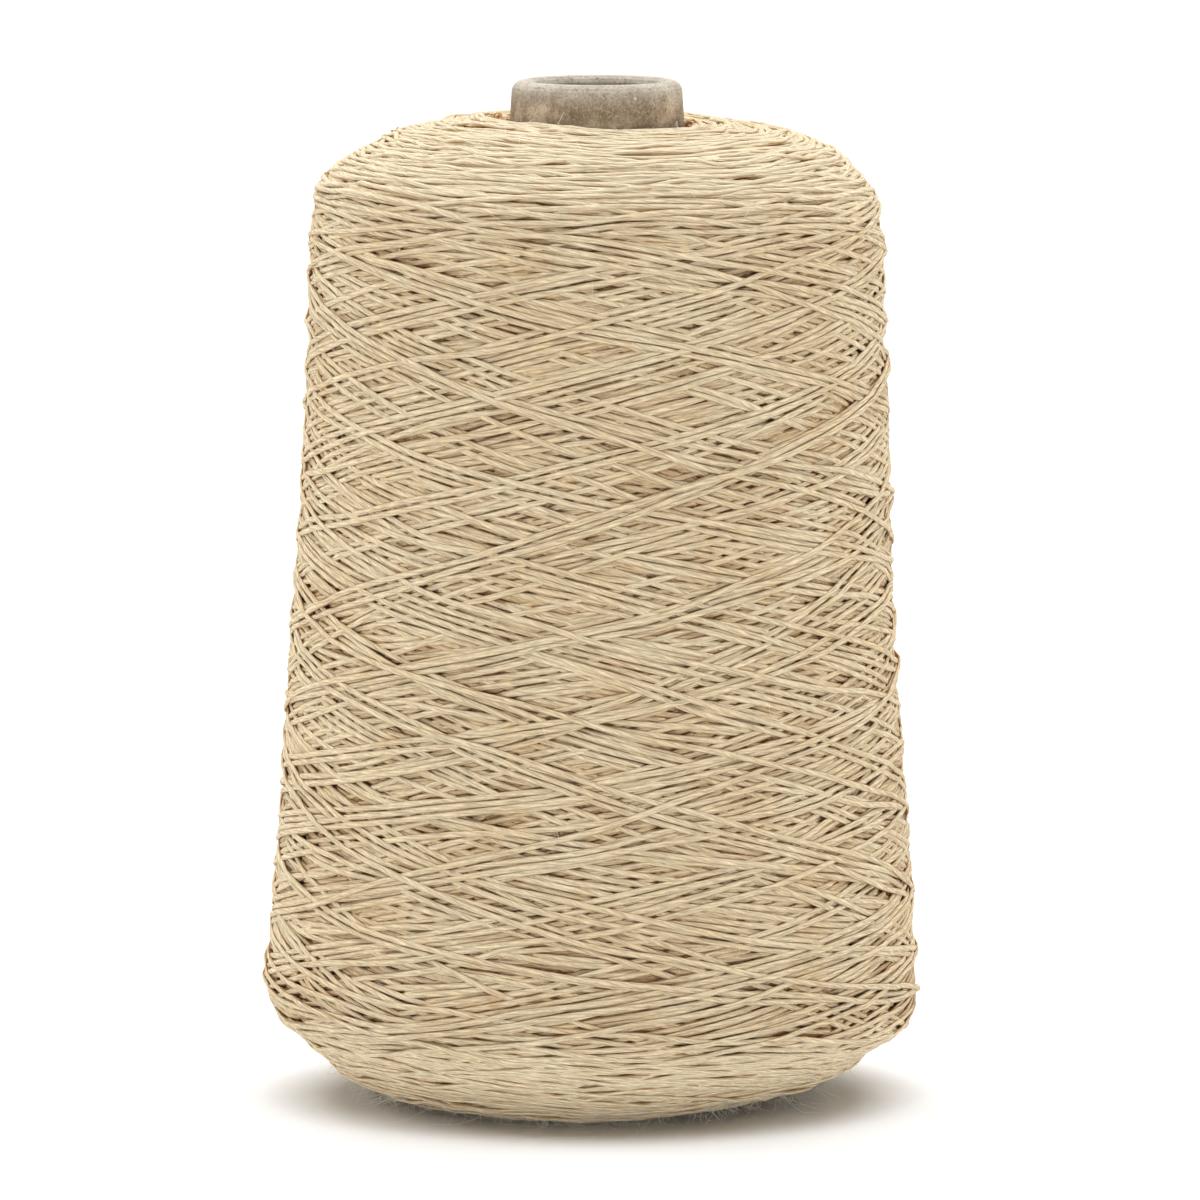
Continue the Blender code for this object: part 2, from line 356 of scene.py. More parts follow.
class Envelope:
    """The smoothed outside of a solid: a place for each angle and each distance down from the nose."""

    def __init__(self, node):
        mesh = node.data
        coordinates = np.array([vertex.co for vertex in mesh.vertices])
        faces = [tuple(polygon.vertices) for polygon in mesh.polygons]
        tree = BVHTree.FromPolygons([Vector(p) for p in coordinates], faces)
        radii = np.hypot(coordinates[:, 0], coordinates[:, 1])
        chain = outer_chain(np.stack([radii, coordinates[:, 2]], axis=1))
        lengths = np.linalg.norm(np.diff(chain, axis=0), axis=1)
        travelled = np.concatenate([[0.0], np.cumsum(lengths)])
        self.length = travelled[-1]
        self.rows = int(self.length / GUIDE_SPACING) + 1
        self.down = np.linspace(0, self.length, self.rows)
        guide = np.stack([np.interp(self.down, travelled, chain[:, i]) for i in (0, 1)], axis=1)
        tangent = unit(smooth_rows(np.gradient(guide, axis=0), GUIDE_SMOOTHING))
        outward = np.stack([-tangent[:, 1], tangent[:, 0]], axis=1)
        angles = np.arange(GUIDE_COLUMNS) * TAU / GUIDE_COLUMNS
        depth = np.zeros((GUIDE_COLUMNS, self.rows))
        for column, angle in enumerate(angles):
            across = np.array([math.cos(angle), math.sin(angle)])
            for row in range(self.rows):
                start = guide[row] + outward[row] * GUIDE_STANDOFF
                origin = Vector((*(across * start[0]), start[1]))
                aim = Vector((*(across * -outward[row, 0]), -outward[row, 1]))
                hit = tree.ray_cast(origin, aim, GUIDE_REACH)
                depth[column, row] = hit[3] if hit[0] else GUIDE_STANDOFF
        blur = ENVELOPE_BLUR / (TAU * guide[:, 0].max() / GUIDE_COLUMNS)
        depth = lowpass(depth, blur, ENVELOPE_BLUR / self.down[1])
        along = guide[None] + outward[None] * (GUIDE_STANDOFF - depth)[:, :, None]
        self.radius = along[:, :, 0]
        self.height = along[:, :, 1]
        self.outward = outward
        self.mean_radius = self.radius.mean(axis=0)
        turn = np.unwrap(np.arctan2(tangent[:, 1], tangent[:, 0]))
        self.bend = np.abs(smooth_rows(np.gradient(turn, self.down)[:, None], GUIDE_SMOOTHING)[:, 0])
        self.shoulder = self.down_at(SHOULDER_HEIGHT)
        self.belly = self.down_at(BELLY_HEIGHT)

    def radius_at(self, down):
        return np.interp(down, self.down, self.mean_radius)

    def bend_at(self, down):
        return np.interp(down, self.down, self.bend)

    def down_at(self, height):
        """The distance down from the nose at which the outside has this height."""
        return float(np.interp(-height, -self.height.mean(axis=0), self.down))

    def sample(self, grid, angle, down):
        """The grid's value at each place, between its columns and rows."""
        column = (angle / TAU % 1.0) * GUIDE_COLUMNS
        row = np.clip(down / self.down[1], 0, self.rows - 1.001)
        c, r = column.astype(int), row.astype(int)
        fc, fr = column - c, row - r
        c0, c1 = c % GUIDE_COLUMNS, (c + 1) % GUIDE_COLUMNS
        low = grid[c0, r] * (1 - fc) + grid[c1, r] * fc
        high = grid[c0, r + 1] * (1 - fc) + grid[c1, r + 1] * fc
        return low * (1 - fr) + high * fr

    def lean(self, points):
        """Sets the foot and the waist to one side, and the crown lower, and draws the corners out."""
        height = points[..., 2]
        radius = np.hypot(points[..., 0], points[..., 1])
        low = np.exp(-((height / FOOT_LEAN_REACH) ** 2)) * ease(radius, *FOOT_LEAN_RADII)
        crown = (height > SHOULDER_HEIGHT) * ease(radius, *CROWN_RADII)
        waist = np.exp(-(((height - WAIST_HEIGHT) / WAIST_REACH) ** 2))
        settled = (height < BELLY_HEIGHT) * ease(radius, *FOOT_SETTLE_RADII[0])
        settled = settled * (1 - ease(radius, *FOOT_SETTLE_RADII[1]))
        rightward = points[..., 0] / radius
        settled = settled * (1 - abs(rightward) * (1 - sided(rightward, *FOOT_SETTLE_SIDES)))
        moved = points.copy()
        moved[..., 0] += FOOT_LEAN * low + WAIST_SHIFT * waist
        moved[..., 2] -= crown * (CROWN_DIP + CROWN_TILT * points[..., 0]) + FOOT_SETTLE * settled
        for left, right, corner_radius, corner_height, reach in CORNERS:
            off = (radius - corner_radius) ** 2 + (height - corner_height) ** 2
            swell = sided(rightward, left, right) * np.exp(-off / reach**2)
            moved[..., :2] += (swell / radius)[..., None] * points[..., :2] * CORNER_SLANT
            moved[..., 2] += swell * CORNER_SLANT * np.sign(corner_height - WAIST_HEIGHT)
        return moved

    def place(self, angle, down, lift):
        """The point in space over each place of the chart, and the direction outward there."""
        radius = self.sample(self.radius, angle, down)
        height = self.sample(self.height, angle, down)
        out_radius = np.interp(down, self.down, self.outward[:, 0])
        out_height = np.interp(down, self.down, self.outward[:, 1])
        size = np.hypot(out_radius, out_height)
        out_radius, out_height = out_radius / size, out_height / size
        radius = radius + lift * out_radius
        across = np.stack([np.cos(angle), np.sin(angle)], axis=-1)
        points = np.concatenate([across * radius[..., None], (height + lift * out_height)[..., None]], -1)
        normals = np.concatenate([across * out_radius[..., None], out_height[..., None]], -1)
        return self.lean(points), normals


# --- winding the yarn on the chart


def taut_line(travelled, needed, bend):
    """The lowest line over the needed heights that curves away from the core no more than bend."""
    steps = np.diff(travelled)
    arch = running_sum(running_sum(bend, steps), steps)
    level = needed - arch
    xs, ys = travelled.tolist(), level.tolist()
    kept = []
    for i, (x, y) in enumerate(zip(xs, ys)):
        while len(kept) >= 2:
            a, b = kept[-2], kept[-1]
            if (ys[b] - ys[a]) * (x - xs[a]) > (y - ys[a]) * (xs[b] - xs[a]):
                break
            kept.pop()
        kept.append(i)
    return np.interp(travelled, travelled[kept], level[kept]) + arch


class Winding:
    """The chart's heights, the turn on top in each cell, how often it was covered, and the turns laid."""

    def __init__(self, envelope):
        self.envelope = envelope
        self.rows = int(envelope.length / CHART_CELL) + 1
        self.row_size = envelope.length / (self.rows - 1)
        self.column_size = TAU / CHART_COLUMNS
        mean_column = self.column_size * envelope.mean_radius.mean()
        self.blur = PRESS_BLUR / mean_column, PRESS_BLUR / self.row_size
        shape = (CHART_COLUMNS, self.rows)
        self.height = np.zeros(shape, np.float32)
        self.owner = np.full(shape, -1, np.int32)
        self.fresh = np.zeros(shape, np.float32)
        self.turns = []

    def cell_at(self, angle, down):
        """The column and row of the cell at each place."""
        column = np.round(angle / self.column_size).astype(np.int64) % CHART_COLUMNS
        row = np.clip(np.round(down / self.row_size).astype(np.int64), 0, self.rows - 1)
        return column, row

    def heading(self, angle, down):
        """The local radius, step lengths and direction of a path."""
        radius = self.envelope.radius_at(down)
        across = np.gradient(angle) * radius
        along = np.gradient(down)
        length = np.hypot(across, along) + 1e-12
        return radius, length, across / length, along / length

    def cells(self, angle, down, offsets):
        """The cells at offsets to the side of each point of a path."""
        radius, _, across, along = self.heading(angle, down)
        shifted_angle = angle[:, None] - offsets[None, :] * (along / radius)[:, None]
        shifted_down = down[:, None] + offsets[None, :] * across[:, None]
        return self.cell_at(shifted_angle, shifted_down)

    def needed(self, angle, down, samples=CONTACT_SAMPLES):
        """The lowest height of a strand's middle, at each point of a path, that clears what lies under."""
        offsets = np.linspace(-CONTACT_WIDTH, CONTACT_WIDTH, samples)
        cells = self.cells(angle, down, offsets * STRAND_HALF_WIDTH)
        dome = STACK_HALF_HEIGHT * np.sqrt(1 - offsets**2)
        return (self.height[cells] + dome).max(axis=1)

    def settle(self, angle, down):
        """Lets a path slide sideways into the lower places beside it."""
        shifts = np.linspace(-SETTLE_REACH, SETTLE_REACH, SETTLE_SHIFTS)
        offsets = np.linspace(-CONTACT_WIDTH, CONTACT_WIDTH, SETTLE_SAMPLES)
        dome = STACK_HALF_HEIGHT * np.sqrt(1 - offsets**2)
        spread = (shifts[:, None] + offsets[None, :] * STRAND_HALF_WIDTH).ravel()
        heights = self.height[self.cells(angle, down, spread)].reshape(len(angle), len(shifts), -1)
        cost = smooth_rows((heights + dome).max(axis=2), int(SETTLE_COST_BLUR / STEP))
        cost += SETTLE_COST * np.abs(shifts)
        best = shifts[np.argmin(cost, axis=1)][:, None]
        shift = smooth_rows(best, int(SETTLE_SHIFT_BLUR / STEP))[:, 0]
        radius, _, across, along = self.heading(angle, down)
        return angle - shift * along / radius, down + shift * across

    def lay(self, angle, down, tails=False):
        """Settles a turn, pulls it taut over what is there, and raises the chart by it."""
        angle, down = self.settle(angle, down)
        down = np.clip(down, CHART_EDGE, self.envelope.length - CHART_EDGE)
        radius, length, across, along = self.heading(angle, down)
        bend = across**2 / radius + along**2 * self.envelope.bend_at(down) + SAG
        travelled = running_sum(length, 1)
        lift = taut_line(travelled, self.needed(angle, down), bend)
        lift = smooth_rows(lift[:, None], int(STIFF_LENGTH / STEP))[:, 0]
        if tails:
            to_end = np.minimum(travelled, travelled[-1] - travelled)
            lift -= TAIL_DEPTH * np.clip(1 - to_end / TAIL_LENGTH, 0, 1) ** TAIL_POWER
        offsets = np.linspace(-LAID_WIDTH, LAID_WIDTH, LAID_SAMPLES)
        column, row = self.cells(angle, down, offsets * STRAND_HALF_WIDTH)
        top = lift[:, None] + STACK_HALF_HEIGHT * np.sqrt(1 - offsets**2)
        flat = (column * self.rows + row).ravel()
        order = np.argsort(top.ravel(), kind="stable")
        flat, top = flat[order], top.ravel()[order].astype(np.float32)
        heights = self.height.reshape(-1)
        above = top > heights[flat]
        heights[flat[above]] = top[above]
        self.owner.reshape(-1)[flat[above]] = len(self.turns)
        self.fresh.reshape(-1)[np.unique(flat)] += 1
        self.turns.append([angle, down, lift, travelled, self.cell_at(angle, down)])
        if len(self.turns) % PRESS_EVERY == 0:
            self.press()
        return angle[-1]

    def press(self):
        """Presses the soft package even: broad lumps go, and new turns squeeze what lies under them."""
        cover = lowpass(self.fresh, *self.blur).astype(np.float32)
        broad = lowpass(self.height, *self.blur).astype(np.float32)
        broad = broad * (1 - np.exp(-LEVEL_PER_COVER * cover))
        share = np.exp(-SQUEEZE_PER_COVER * cover)
        self.fresh[:] = 0
        self.height = (self.height - broad) * share
        for turn in self.turns:
            turn[2] = (turn[2] - broad[turn[4]]) * share[turn[4]]


def stroke(envelope, start, end, turns):
    """One pass of the yarn guide, level at both ends: the angle, from 0, and the distance down."""
    phase = np.linspace(-np.pi / 2, np.pi / 2, STROKE_POINTS)
    share = np.sin(phase)
    half = (end - start) / 2
    down = (start + end) / 2 + half * share
    rate = abs(half) / (envelope.radius_at(down) * np.sqrt(1 + share**2))
    rate = rate * (1 + STROKE_SKEW * (down / envelope.length - 0.5))
    angle = running_sum(rate, np.diff(phase))
    angle *= turns * TAU / angle[-1]
    return angle, down


def even_steps(envelope, angle, down):
    """The same path with a point at every step."""
    radius = envelope.radius_at(down)
    length = np.hypot(np.diff(angle) * (radius[1:] + radius[:-1]) / 2, np.diff(down))
    travelled = np.concatenate([[0.0], np.cumsum(length)])
    places = np.linspace(0, travelled[-1], max(4, int(travelled[-1] / STEP)))
    return np.interp(places, travelled, angle), np.interp(places, travelled, down)


def wander(rng, sizes):
    """A smooth random stray along a pass, as a function of the share of the pass."""
    waves = [(count, rng.normal(0, size), rng.uniform(0, TAU)) for count, size in sizes]

    def stray(share):
        total = sum(height * np.sin(np.pi * count * share + phase) for count, height, phase in waves)
        return total * np.sin(np.pi * share)

    return stray


def wind_end(winding, rng, first, last, layers, count, sway):
    """The nearly level turns that cover one end, in layers that are each laid from the core outward."""
    envelope = winding.envelope
    places = np.linspace(first, last, END_PLACES)
    share = np.cumsum(envelope.radius_at(places) ** END_CROWDING)
    share = (share - share[0]) / (share[-1] - share[0])
    for turn in range(layers * count):
        spot = (turn % count + rng.uniform(-END_JITTER, 1 + END_JITTER)) / count
        middle = float(np.interp(spot, share, places))
        span = rng.uniform(*END_SPAN) * TAU
        start = rng.uniform(0, TAU)
        angle = np.linspace(0, span, END_POINTS)
        along = np.linspace(0, 1, END_POINTS)
        down = middle + END_DRIFT * np.sign(last - first) * (2 * along - 1) ** 2
        calm = min(1.0, CALM_LEAST + abs(middle - first) / CALM_EDGE)
        down = down + calm * wander(rng, sway)(along)
        angle, down = even_steps(envelope, angle, down)
        winding.lay(start + angle, down, tails=True)


def next_set(rng):
    """The share of a turn that each double pass gains, the bands of a ribbon, and how many passes.

    A ribbon set comes back beside its own turns after a few passes. A loose set never does.
    """
    if rng.random() < RIBBON_CHANCE:
        steps, bands = RIBBONS[rng.integers(len(RIBBONS))]
        return steps / bands, bands, bands * int(rng.integers(*RIBBON_ROUNDS))
    return rng.uniform(*LOOSE_GAIN), 0, int(rng.integers(*LOOSE_SET_SIZE))


def wind_flank(winding, rng):
    """Passes up and down the flank, in sets that each start where the package is lowest."""
    envelope = winding.envelope
    turn_length = TAU * envelope.mean_radius[envelope.rows // 2]
    trial_stroke = stroke(envelope, envelope.belly, envelope.shoulder, BASE_TURNS / 2)
    trial, trial_down = (path[::TRIAL_STRIDE] for path in even_steps(envelope, *trial_stroke))
    angle_now = 0.0
    laid = 0
    while laid < DOUBLE_STROKES:
        gain, bands, set_size = next_set(rng)
        passes = range(bands or TRIAL_PASSES)
        starts = rng.uniform(-0.5, 0.5, TRIAL_STARTS)
        heights = []
        for start in starts:
            trials = [angle_now + (start + gain * member) * TAU + trial for member in passes]
            needs = [winding.needed(angle, trial_down, TRIAL_SAMPLES).mean() for angle in trials]
            heights.append(np.mean(needs))
        jump = starts[int(np.argmin(heights))]
        spacing = rng.uniform(*RIBBON_SPACING) / math.sin(math.atan(WIND_TANGENT)) / turn_length
        set_top, set_foot = rng.uniform(-1, 1, 2) * SET_SCATTER
        set_top += TOP_SPREAD * rng.random() ** 2
        set_foot -= BELLY_SPREAD * rng.random() ** 2
        set_strays = wander(rng, SET_SWAY), wander(rng, SET_SWAY)
        for member in range(min(set_size, DOUBLE_STROKES - laid)):
            turns = BASE_TURNS + gain + rng.uniform(-GAIN_JITTER, GAIN_JITTER)
            if bands:
                turns += spacing * rng.uniform(*RIBBON_JITTER) / bands
            if member == 0:
                turns += jump
            inward = STROKE_DRIFT * (1 - laid / DOUBLE_STROKES)
            top = envelope.shoulder + set_top + inward
            foot = envelope.belly + FOOT_OVERLAP + set_foot - inward
            foot = min(foot, envelope.length - FOOT_MARGIN)
            for (start, end), set_stray in zip(((foot, top), (top, foot)), set_strays):
                angle, down = even_steps(envelope, *stroke(envelope, start, end, turns / 2))
                share = np.linspace(0, 1, len(down))
                down = down + set_stray(share) + wander(rng, PASS_SWAY)(share)
                for turn_back in (start, end):
                    near = np.exp(-(((down - turn_back) / TURN_BACK_REACH) ** 2))
                    down = down + near * rng.uniform(-1, 1) * TURN_BACK_SCATTER
                angle_now = winding.lay(angle_now + angle, down)
            laid += 1


def visible_runs(winding, depth):
    """The stretches of each turn that show, each as an index of its turn and its first and last point."""
    margin = int(HIDDEN_MARGIN / STEP)
    runs = []
    for index, (angle, down, *_) in enumerate(winding.turns):
        column, row = winding.cells(angle, down, np.array(VISIBLE_OFFSETS) * STRAND_HALF_WIDTH)
        shows = (winding.owner[column, row] == index) & (depth[column, row] > -BODY_DEPTH)
        shows = np.convolve(shows.any(axis=1), np.ones(2 * margin + 1), "same") > 0.5
        edges = np.flatnonzero(np.diff(np.concatenate([[0], shows.astype(int), [0]])))
        for first, last in zip(edges[::2], edges[1::2]):
            if last - first > 2 * margin:
                runs.append((index, first, last - 1))
    return runs


# --- from turns to tubes


def tube_faces(first_ring, last_ring, sides):
    """The quads round each stretch of tube, and the two caps of each tube, as indexes of points."""
    corner = np.arange(sides)
    beside = (corner + 1) % sides
    base = np.flatnonzero(~last_ring)[:, None] * sides
    quads = np.stack([base + corner, base + beside, base + sides + beside, base + sides + corner], axis=-1)
    starts = np.flatnonzero(first_ring)[:, None] * sides
    ends = np.flatnonzero(last_ring)[:, None] * sides
    return quads, np.concatenate([starts + corner[::-1], ends + corner])


def new_object(name, data):
    """An object of this data, linked to the scene."""
    obj = bpy.data.objects.new(name, data)
    bpy.context.scene.collection.objects.link(obj)
    return obj


def new_tubes(name, rings, quads, caps):
    """A mesh object of closed tubes."""
    totals = np.repeat([4, caps.shape[1]], [quads.size // 4, len(caps)])
    corners = np.concatenate([quads.reshape(-1), caps.reshape(-1)])
    mesh = bpy.data.meshes.new(name)
    mesh.vertices.add(rings.size // 3)
    mesh.vertices.foreach_set("co", rings.astype(np.float32).ravel())
    mesh.loops.add(len(corners))
    mesh.loops.foreach_set("vertex_index", corners.astype(np.int32))
    mesh.polygons.add(len(totals))
    mesh.polygons.foreach_set("loop_start", np.concatenate([[0], np.cumsum(totals)[:-1]]).astype(np.int32))
    mesh.update(calc_edges=True)
    mesh.shade_smooth()
    return new_object(name, mesh)


def strand_mesh(name, rings, run_starts, rng):
    """Strands of yarn through rings. run_starts holds the first ring of each run."""
    centres, normals = rings["centre"], rings["normal"]
    count = len(centres)
    first, last = run_starts, np.append(run_starts[1:], count) - 1
    first_ring, last_ring = np.zeros((2, count), bool)
    first_ring[first] = True
    last_ring[last] = True
    tangent = np.empty_like(centres)
    tangent[1:-1] = centres[2:] - centres[:-2]
    tangent[first] = centres[first + 1] - centres[first]
    tangent[last] = centres[last] - centres[last - 1]
    tangent = unit(tangent)
    side = unit(np.cross(normals, tangent))
    up = np.cross(tangent, side)
    at_end = first_ring | last_ring
    swell = np.where(at_end, END_SWELL, 1 + rng.normal(0, SWELL_SPREAD, count))
    centres = centres - up * np.where(at_end, END_DROP, 0.0)[:, None]
    turn = np.arange(STRAND_SIDES) * TAU / STRAND_SIDES
    points = (
        centres[:, None]
        + side[:, None] * (np.cos(turn)[None, :, None] * (rings["width"] * swell)[:, None, None])
        + up[:, None] * (np.sin(turn)[None, :, None] * STRAND_HALF_HEIGHT * swell[:, None, None])
    )
    quads, caps = tube_faces(first_ring, last_ring, STRAND_SIDES)
    obj = new_tubes(name, points, quads, caps)
    along = rings["along"] / MM
    ring = np.flatnonzero(~last_ring)[:, None]
    sides = np.arange(STRAND_SIDES)
    ends = (along[ring], along[ring + 1], sides / STRAND_SIDES, (sides + 1) / STRAND_SIDES)
    near, far, low, high = np.broadcast_arrays(*ends)
    quad_uv = np.stack([near, low, near, high, far, high, far, low], axis=-1)
    cap_along = along[np.append(first, last)]
    cap_uv = np.stack([np.repeat(cap_along, STRAND_SIDES), np.zeros(caps.size)], axis=-1)
    layer = obj.data.uv_layers.new(name="strand")
    layer.data.foreach_set("uv", np.concatenate([quad_uv.ravel(), cap_uv.ravel()]).astype(np.float32))
    tone = np.repeat(rings["tone"], STRAND_SIDES)
    # How deep each point lies below the top of the winding, for the cotton's painted shade.
    sunk = -(rings["depth"][:, None] + np.sin(turn)[None] * STRAND_HALF_HEIGHT) / MM
    for key, values in (("tone", tone), ("sunk", sunk)):
        attribute = obj.data.attributes.new(key, "FLOAT", "POINT")
        attribute.data.foreach_set("value", values.astype(np.float32).ravel())
    return obj


def loose_tubes(name, centres, radius, sides, rng):
    """Closed tubes through rows of centres, for what lies free of the winding."""
    count, ring_count = centres.shape[:2]
    tangent = unit(np.gradient(centres, axis=1))
    side = unit(np.cross(rng.normal(0, 1, (count, 1, 3)), tangent))
    up = np.cross(tangent, side)
    turn = np.arange(sides) * TAU / sides
    around = side[:, :, None] * np.cos(turn)[:, None] + up[:, :, None] * np.sin(turn)[:, None]
    ring_index = np.tile(np.arange(ring_count), count)
    quads, caps = tube_faces(ring_index == 0, ring_index == ring_count - 1, sides)
    return new_tubes(name, centres[:, :, None] + radius * around, quads, caps)


def surface_lift(winding, base, angle, down):
    """How far the winding's own surface stands out at each place."""
    return (winding.height - base)[winding.cell_at(angle, down)] * relief_share(winding.envelope, down)


def fuzz_mesh(name, winding, base, rng):
    """Loose fibres that stand out of the yarn, most of them short, and more of them round the foot."""
    envelope = winding.envelope
    all_over = rng.uniform(2 * CHART_EDGE, envelope.length - 2 * CHART_EDGE, FUZZ_HAIRS)
    height, radius = FUZZY_FOOT
    low = envelope.down > envelope.belly
    inmost = np.interp(-radius, -envelope.mean_radius[low], envelope.down[low])
    at_foot = rng.uniform(envelope.down_at(height), inmost, FOOT_HAIRS)
    down = np.concatenate([all_over, at_foot])
    of_foot = (np.arange(len(down)) >= FUZZ_HAIRS)[:, None]
    count = len(down)
    angle = rng.uniform(0, TAU, count)
    lift = surface_lift(winding, base, angle, down)
    roots, normals = envelope.place(angle, down, lift - HAIR_ROOT)
    outward = np.where(of_foot, roots * (1, 1, 0) / FOOT_RADIUS, normals)
    rise = outward * rng.uniform(*HAIR_RISE, count)[:, None]
    aim = unit(rise + rng.normal(0, HAIR_STRAY, (count, 3)))
    curl = rng.normal(0, HAIR_CURL, (count, 3))
    length = HAIR_LENGTH[0] + (HAIR_LENGTH[1] - HAIR_LENGTH[0]) * rng.uniform(0, 1, count) ** 2
    length = length * np.where(of_foot[:, 0], FOOT_HAIR_LENGTH, 1)
    share = np.linspace(0, 1, HAIR_RINGS)[None, :, None]
    centres = roots[:, None] + length[:, None, None] * (share * aim[:, None] + share**2 * curl[:, None])
    centres[:, :, 2] = np.maximum(centres[:, :, 2], 2 * HAIR_RADIUS)
    taper = HAIR_RADIUS * np.linspace(1, HAIR_TIP, HAIR_RINGS)[None, :, None, None]
    return loose_tubes(name, centres, taper, HAIR_SIDES, rng)


def scatter(rng, counts, middles, spreads):
    """Random values about each middle, up to its spread away and as many as its count."""
    rows = zip(counts, middles, spreads)
    return np.concatenate([middle + spread * rng.uniform(-1, 1, count) for count, middle, spread in rows])


def kink_mesh(name, winding, base, rng):
    """Kinked bits of yarn that curl out of the crown beside the core."""
    envelope = winding.envelope
    counts, angles, angle_spreads, radii, radius_spreads = zip(*KINKS)
    angle = scatter(rng, counts, angles, angle_spreads)
    radius = scatter(rng, counts, radii, radius_spreads)
    crown = envelope.down < envelope.shoulder
    down = np.interp(radius, envelope.mean_radius[crown], envelope.down[crown])
    count = len(down)
    roots, normals = envelope.place(angle, down, surface_lift(winding, base, angle, down))
    ahead = unit(rng.normal(0, 1, (count, 3)) * KINK_DIRECTION)
    across = np.cross(normals, ahead)
    share = np.linspace(-0.5, 0.5, KINK_RINGS)[None, :, None]
    phase = rng.uniform(0, TAU, (count, 1, 1))
    curl = rng.uniform(*KINK_TURNS, (count, 1, 1)) * TAU * share + phase
    length = KINK_LENGTH * rng.uniform(*KINK_SIZES, (count, 1, 1))
    centres = roots[:, None] + length * share * ahead[:, None]
    centres = centres + KINK_CURL * np.sin(curl) * across[:, None]
    rise = KINK_RISE + np.cos(curl) - KINK_DIP * share**2
    centres = centres + KINK_CURL * rise * normals[:, None]
    return loose_tubes(name, centres, KINK_RADIUS, KINK_SIDES, rng)


def end_shares(envelope, down):
    """How much a place belongs to the dome, and how much to the foot."""
    dome = ease(down, *(envelope.down_at(SHOULDER_HEIGHT - fade) for fade in SHOULDER_FADE))
    foot = ease(down, envelope.down_at(BELLY_HEIGHT + BELLY_FADE), envelope.belly)
    return dome, foot


def relief_share(envelope, down):
    """How much of the winding's relief is left: most of it on the flank, less on the flattened ends."""
    dome, foot = end_shares(envelope, down)
    return FLANK_RELIEF + (DOME_RELIEF - FLANK_RELIEF) * dome + (FOOT_RELIEF - FLANK_RELIEF) * foot


def ring_places(winding, runs, base):
    """The rings of these runs, and the first ring of each run.

    Each ring has its centre, normal and half width, its length along the yarn, its tone, and its depth.
    """
    envelope = winding.envelope
    parts = {key: [] for key in ("angle", "down", "lift", "along", "tone")}
    starts = []
    total = 0
    for index, first, last in runs:
        angle, down, lift, travelled, _ = winding.turns[index]
        count = max(3, int((travelled[last] - travelled[first]) / RING_SPACING) + 1)
        places = np.linspace(travelled[first], travelled[last], count)
        for key, values in (("angle", angle), ("down", down), ("lift", lift)):
            parts[key].append(np.interp(places, travelled, values))
        parts["along"].append(places + index * TURN_SHIFT)
        parts["tone"].append(np.full(count, (index * TONE_STEP) % 1.0))
        starts.append(total)
        total += count
    rings = {key: np.concatenate(values) for key, values in parts.items()}
    angle, down = rings["angle"], rings["down"]
    depth = (rings["lift"] - base[winding.cell_at(angle, down)]) * relief_share(envelope, down)
    points, normals = envelope.place(angle, down, depth)
    points[:, 2] = np.maximum(points[:, 2], LOWEST_RING)
    ends = np.maximum(*end_shares(envelope, down))
    width = DRAWN_HALF_WIDTH + (END_HALF_WIDTH - DRAWN_HALF_WIDTH) * ends
    rings.update(centre=points, normal=normals, depth=depth, width=width)
    return rings, np.array(starts)


def inner_body(envelope, name):
    """A plain closed skin under the turns, so that no gap shows through to the core."""
    rows = np.linspace(CHART_EDGE, envelope.length - CHART_EDGE, BODY_ROWS)
    columns = np.arange(BODY_COLUMNS) * TAU / BODY_COLUMNS
    angle, down = np.meshgrid(columns, rows, indexing="ij")
    points, _ = envelope.place(angle, down, -BODY_DEPTH * relief_share(envelope, down))
    points[:, :, 2] = np.maximum(points[:, :, 2], BODY_LOWEST)
    bore = points[:, [-1, 0]].copy()
    scale = np.array(BODY_BORE) / np.hypot(bore[:, :, 0], bore[:, :, 1])
    bore[:, :, :2] *= scale[:, :, None]
    grid = np.concatenate([points, bore], axis=1)
    rows = grid.shape[1]
    column, row = np.meshgrid(np.arange(BODY_COLUMNS) * rows, np.arange(rows), indexing="ij")
    beside, below = np.roll(column, -1, axis=0), np.roll(row, -1, axis=1)
    quads = np.stack([column + row, column + below, beside + below, beside + row], axis=-1)
    mesh = bpy.data.meshes.new(name)
    mesh.from_pydata(grid.reshape(-1, 3).tolist(), [], quads.reshape(-1, 4).tolist())
    mesh.shade_smooth()
    return new_object(name, mesh)


# --- materials


